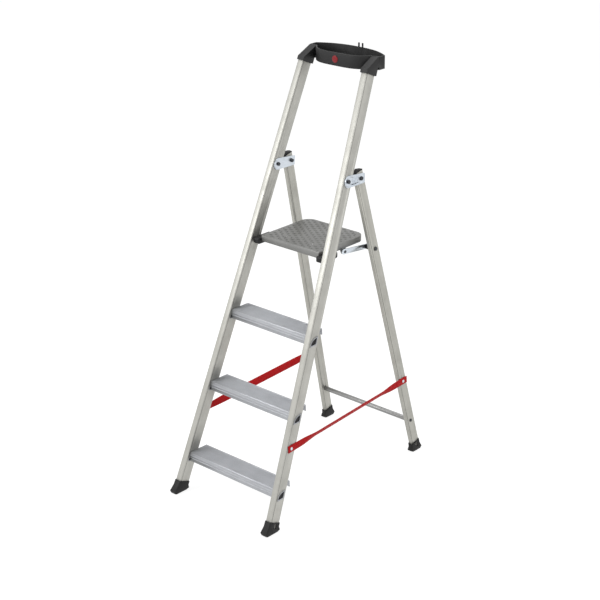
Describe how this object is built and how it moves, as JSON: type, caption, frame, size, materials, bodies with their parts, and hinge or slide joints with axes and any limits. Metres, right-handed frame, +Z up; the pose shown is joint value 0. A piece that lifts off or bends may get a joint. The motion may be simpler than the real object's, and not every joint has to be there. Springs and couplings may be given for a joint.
{
  "type": "platform step ladder",
  "caption": "Folding aluminium step ladder with ribbed treads, a fold-up platform, a tool tray on tall guard stiles, hinged rear legs with side straps and rubber shoes.",
  "frame": {"origin": "middle of the footprint, on the floor", "axes": "+Z up, +Y from the climbing side to the rear legs, +X to the climber's right"},
  "size_m": [0.4584, 0.8442, 1.4869],
  "materials": {
    "mill_aluminium": "mill finish, brushed along the extrusion",
    "tread_aluminium": "satin extrusion",
    "deck_aluminium": "grey satin sheet with anti-slip rows",
    "zinc_plate": "bright zinc plate",
    "dark_steel": "black zinc",
    "black_plastic": "moulded, fine grain",
    "shoe_rubber": "matt",
    "red_webbing": "woven webbing",
    "red_badge": "smooth, bare"
  },
  "bodies": {
    "front_frame": {"front_shoe_left": "shoe_rubber", "front_shoe_right": "shoe_rubber", "front_stile_left": "mill_aluminium", "front_stile_right": "mill_aluminium", "hinge_fixed_bolt_left": "dark_steel", "hinge_fixed_bolt_right": "dark_steel", "hinge_pivot_bolt_left": "dark_steel", "hinge_pivot_bolt_right": "dark_steel", "hinge_plate_inner_left": "zinc_plate", "hinge_plate_inner_right": "zinc_plate", "hinge_plate_outer_left": "zinc_plate", "hinge_plate_outer_right": "zinc_plate", "hinge_spacer_left": "black_plastic", "hinge_spacer_right": "black_plastic", "lower_tread": "tread_aluminium", "lower_tread_plug_left": "black_plastic", "lower_tread_plug_right": "black_plastic", "lower_tread_tube_left": "tread_aluminium", "lower_tread_tube_right": "tread_aluminium", "middle_tread": "tread_aluminium", "middle_tread_plug_left": "black_plastic", "middle_tread_plug_right": "black_plastic", "middle_tread_tube_left": "tread_aluminium", "middle_tread_tube_right": "tread_aluminium", "platform_pivot_left": "dark_steel", "platform_pivot_right": "dark_steel", "strap_front_rivet_left": "zinc_plate", "strap_front_rivet_right": "zinc_plate", "strap_left": "red_webbing", "strap_right": "red_webbing", "top_tray": "black_plastic", "tray_badge": "red_badge", "upper_tread": "tread_aluminium", "upper_tread_plug_left": "black_plastic", "upper_tread_plug_right": "black_plastic", "upper_tread_tube_left": "tread_aluminium", "upper_tread_tube_right": "tread_aluminium"},
    "rear_frame": {"cross_tube_bolt_left": "dark_steel", "cross_tube_bolt_right": "dark_steel", "rear_cross_tube": "mill_aluminium", "rear_shoe_left": "shoe_rubber", "rear_shoe_right": "shoe_rubber", "rear_stile_cap_left": "black_plastic", "rear_stile_cap_right": "black_plastic", "rear_stile_left": "mill_aluminium", "rear_stile_right": "mill_aluminium", "strap_rear_rivet_left": "zinc_plate", "strap_rear_rivet_right": "zinc_plate", "strut_bolt_left": "dark_steel", "strut_bolt_right": "dark_steel", "strut_bracket_left": "black_plastic", "strut_bracket_right": "black_plastic"},
    "platform": {"platform": "deck_aluminium", "platform_bush_left": "black_plastic", "platform_bush_right": "black_plastic"},
    "strut_left": {"platform_strut_left": "zinc_plate", "strut_rivet_left": "dark_steel"},
    "strut_right": {"platform_strut_right": "zinc_plate", "strut_rivet_right": "dark_steel"}
  },
  "joints": [
    {"name": "rear_fold", "type": "hinge", "parent": "front_frame", "child": "rear_frame", "pos_m": [0, 0.12072, 1.091], "axis": [-1, 0, 0], "range_deg": [0, 36.27], "deforming": ["strap_left", "strap_right"]},
    {"name": "platform_fold", "type": "hinge", "parent": "front_frame", "child": "platform", "pos_m": [0, -0.04141, 0.85], "axis": [1, 0, 0], "range_deg": [0, 68.07]},
    {"name": "strut_left_fold", "type": "hinge", "parent": "rear_frame", "child": "strut_left", "pos_m": [0, 0.1876, 0.82941], "axis": [-1, 0, 0], "range_deg": [0, 43.04]},
    {"name": "strut_right_fold", "type": "hinge", "parent": "rear_frame", "child": "strut_right", "pos_m": [0, 0.1876, 0.82941], "axis": [-1, 0, 0], "range_deg": [0, 43.04]}
  ],
  "couplings": [
    {"joint": "platform_fold", "follows": "rear_fold", "ratio": 1.8767},
    {"joint": "strut_left_fold", "follows": "rear_fold", "ratio": 1.1866},
    {"joint": "strut_right_fold", "follows": "rear_fold", "ratio": 1.1866}
  ]
}
